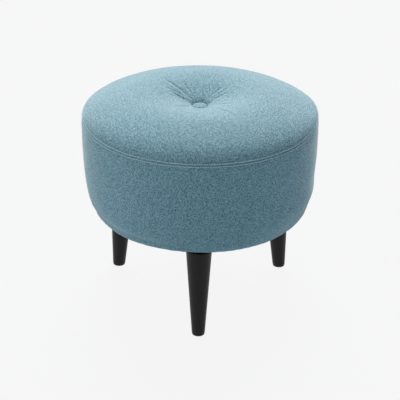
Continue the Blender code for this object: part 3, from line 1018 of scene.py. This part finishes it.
leg_section = [(leg_foot_radius - inset, rise) for inset, rise in foot_rounding]
taper_shares = np.linspace(0.02, 0.985, 26)
for share in taper_shares:
    radius = leg_foot_radius + (leg_top_radius - leg_foot_radius) * share
    leg_section.append((radius, leg_length * share))
leg_section += [(leg_top_radius - inset, leg_length - drop) for inset, drop in top_rounding]
for number, way in enumerate(leg_ways, 1):
    points = []
    for radius, rise in leg_section:
        circle = leg_top_circle + leg_splay * (1 - rise / leg_length)
        for side in range(leg_sides):
            turn = tau * side / leg_sides
            points.append(
                (
                    circle * cos(radians(way)) + radius * cos(turn),
                    circle * sin(radians(way)) + radius * sin(turn),
                    leg_bottom + rise,
                )
            )
    faces = grid_faces(len(leg_section), leg_sides)
    faces.append(tuple(range(leg_sides - 1, -1, -1)))
    faces.append(tuple(range(len(points) - leg_sides, len(points))))
    leg = new_piece(f"turned_leg_{number}", points, faces, black_lacquer)
    leg.data.set_sharp_from_angle(angle=radians(50))
    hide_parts(f"leg_{number}")

# Foot glides
# A small round glide of black nylon is nailed into the foot of each leg, so that the stool
# slides on a floor without marking it.

black_nylon, tree, shader = new_finish("black_nylon", roughness=0.55)
place = node(tree, "TexCoord").outputs["Object"]
scuffs = speckle(tree, place, stretch=(500, 500, 500), detail=4.0)
nylon_colour = ramp(tree, scuffs, (0.3, (0.016, 0.016, 0.017)), (0.7, (0.032, 0.032, 0.033)))
tree.links.new(nylon_colour, shader.inputs["Base Color"])
bump(tree, shader, scuffs, distance=0.0001)
wear("foot_glide", black_nylon)

# Dust cover
# A disc of thin black non-woven cloth closes the underside. Its edge is turned under and held
# by wire staples through the hem of the side cover into the base board, and it sags a little.

dust_cover_radius = 0.1760
dust_cover_bottom = 0.1645
turned_edge_height = 0.16512
turned_edge_width = 0.0080
turned_edge_rows = 6
turned_edge_out = 0.0001
turned_edge_drop = 0.0002
dust_cloth_thickness = 0.0003
dust_staple_count = 30
dust_staple_circle = 0.1700
dust_staple_height = 0.1641
edge_wave = 0.00035
edge_wave_spread = 0.010
slack_radius = 0.165
slack_width = 0.03
slack_sag = 0.0001
wrinkle_sag = 0.0006
# How fast the wrinkles change round the cloth and outward, and where their pattern is taken
wrinkle_round = 5
wrinkle_outward = 18
wrinkle_place = 3

black_cloth, tree, shader = new_finish("black_cloth", roughness=0.9, specular=0.25)
place = node(tree, "TexCoord").outputs["Object"]
web = node(tree, "TexVoronoi", {"Vector": place, "Scale": 420.0}).outputs["Distance"]
web_colour = ramp(tree, web, (0.1, (0.012, 0.012, 0.013)), (0.6, (0.034, 0.034, 0.036)))
tree.links.new(web_colour, shader.inputs["Base Color"])
bump(tree, shader, web, distance=0.0003)


def dust_cover_drop(radius, turn):
    """How far the cloth hangs below its edge: between staples, and slack in the middle."""
    staple_wave = 0.5 - 0.5 * np.cos(dust_staple_count * turn)
    edge = hump(radius, dust_cover_radius, edge_wave_spread)
    x = wrinkle_round * np.cos(turn) + wrinkle_place
    y = wrinkle_round * np.sin(turn)
    spots = zip(x.ravel(), y.ravel(), (wrinkle_outward * radius).ravel())
    wrinkle = np.reshape([noise.noise(Vector(spot)) for spot in spots], turn.shape)
    slack = fade(radius, slack_radius, -slack_width)
    return edge_wave * edge * staple_wave + slack * (slack_sag + wrinkle_sag * wrinkle**2)


middle_rings = np.linspace(0.002, 0.160, 40)
edge_rings = np.linspace(0.162, dust_cover_radius, 12)
dust_rings = np.concatenate([middle_rings, edge_rings])
dust_sides = 360
dust_turn = np.tile(np.linspace(0, tau, dust_sides, endpoint=False), (len(dust_rings), 1))
dust_radius = np.repeat(dust_rings[:, None], dust_sides, axis=1)
dust_height = dust_cover_bottom - dust_cover_drop(dust_radius, dust_turn)
flat_sheet = np.stack(
    [dust_radius * np.cos(dust_turn), dust_radius * np.sin(dust_turn), dust_height], axis=2
)
fold_rings = np.linspace(
    dust_cover_radius + turned_edge_out, dust_cover_radius - turned_edge_width, turned_edge_rows
)
fold_radius = np.repeat(fold_rings[:, None], dust_sides, axis=1)
fold_turn = dust_turn[: len(fold_rings)]
fold_height = np.full_like(fold_radius, turned_edge_height)
fold_height[0] -= turned_edge_drop
turned_in = np.stack(
    [fold_radius * np.cos(fold_turn), fold_radius * np.sin(fold_turn), fold_height], axis=2
)
dust_points = np.concatenate([flat_sheet, turned_in])
dust_faces = [face[::-1] for face in grid_faces(len(dust_points), dust_sides)]
dust_faces.append(tuple(range(dust_sides - 1, -1, -1)))
dust_cover = new_piece(
    "dust_cover_cloth", dust_points.reshape(-1, 3), dust_faces, black_cloth
)
give_thickness(dust_cover, dust_cloth_thickness)
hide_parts("dust_cover")
dust_staples = staple_row(
    "dust_cover_staples", dust_staple_count, dust_staple_circle, dust_staple_height, leg_ways
)

# Room
# A plain pale floor and four broad soft lamps: a strong one high behind the stool, and weaker
# ones low behind it, straight above it and at its left. A little even light comes from all round.

room_white = 0.922
floor_white = 0.931
floor_plain_share = 0.95
floor_size = 12.0
lamp_spread = radians(60)
lamp_colour = (1.0, 0.937, 0.889)

floor_mesh = bpy.data.meshes.new("floor")
half = floor_size / 2
floor_mesh.from_pydata(
    [(-half, -half, 0), (half, -half, 0), (half, half, 0), (-half, half, 0)], [], [(0, 1, 2, 3)]
)
floor = bpy.data.objects.new("floor", floor_mesh)
bpy.context.scene.collection.objects.link(floor)
floor_paint, tree, shader = new_finish("floor_paint", roughness=0.9, specular=0.1)
shader.inputs["Base Color"].default_value = (0.547, 0.617, 0.664, 1.0)
sight = node(tree, "LightPath").outputs
seen = node(
    tree, "Math", {0: sight["Is Camera Ray"], 1: sight["Is Glossy Ray"]}, operation="MAXIMUM"
).outputs["Value"]
seen = node(
    tree, "Math", {0: seen, 1: sight["Is Transmission Ray"]}, operation="MAXIMUM"
).outputs["Value"]
plain_share = node(
    tree, "Math", {0: seen, 1: floor_plain_share}, operation="MULTIPLY"
).outputs["Value"]
plain = node(tree, "Emission", {"Color": (1, 1, 1, 1), "Strength": floor_white})
both = node(
    tree,
    "MixShader",
    {0: plain_share, 1: shader.outputs["BSDF"], 2: plain.outputs["Emission"]},
)
tree.links.new(both.outputs["Shader"], tree.nodes["Material Output"].inputs["Surface"])
floor_mesh.materials.append(floor_paint)

room = bpy.data.worlds.new("room")
room.use_nodes = True
bpy.context.scene.world = room
tree = room.node_tree
sight = node(tree, "LightPath").outputs
even = tree.nodes["Background"]
even.inputs["Color"].default_value = (0.94, 1.0, 1.02, 1.0)
even.inputs["Strength"].default_value = 0.10
backdrop = node(tree, "Background", {"Color": (1, 1, 1, 1), "Strength": room_white})
both = node(
    tree,
    "MixShader",
    {0: sight["Is Camera Ray"], 1: even.outputs["Background"], 2: backdrop.outputs["Background"]},
)
tree.links.new(both.outputs["Shader"], tree.nodes["World Output"].inputs["Surface"])


def soft_lamp(name, way, energy):
    """A broad, soft, far lamp that shines in a direction."""
    lamp = bpy.data.lights.new(name, "SUN")
    lamp.energy = energy
    lamp.angle = lamp_spread
    lamp.color = lamp_colour
    holder = bpy.data.objects.new(name, lamp)
    bpy.context.scene.collection.objects.link(holder)
    holder.rotation_euler = Vector(way).to_track_quat("-Z", "Y").to_euler()


soft_lamp("lamp_behind", (0.0, -0.80, -0.60), 3.75)
soft_lamp("lamp_low_behind", (0.0, -0.96, -0.28), 1.76)
soft_lamp("lamp_above", (0.0, 0.0, -1.0), 1.22)
soft_lamp("lamp_left", (0.9, 0.05, -0.42), 0.95)

# Camera
# It stands in front of the single leg and looks down a little over 25 degrees. Its place and the
# directions of its picture's right, top and back are those fitted to the photograph.

camera_data = bpy.data.cameras.new("camera")
camera_data.lens = 157.215
camera_data.sensor_width = 36.0
camera = bpy.data.objects.new("camera", camera_data)
bpy.context.scene.collection.objects.link(camera)
right = Vector((0.999962, 0.003595, 0.007886))
over = Vector((-0.008665, 0.434099, 0.900823))
back = Vector((-0.000185, -0.900858, 0.434114))
camera_place = Matrix.Translation((0.00045, -2.85037, 1.55085))
camera.matrix_world = camera_place @ Matrix((right, over, back)).transposed().to_4x4()
bpy.context.scene.camera = camera
bpy.context.scene.view_settings.view_transform = "Standard"
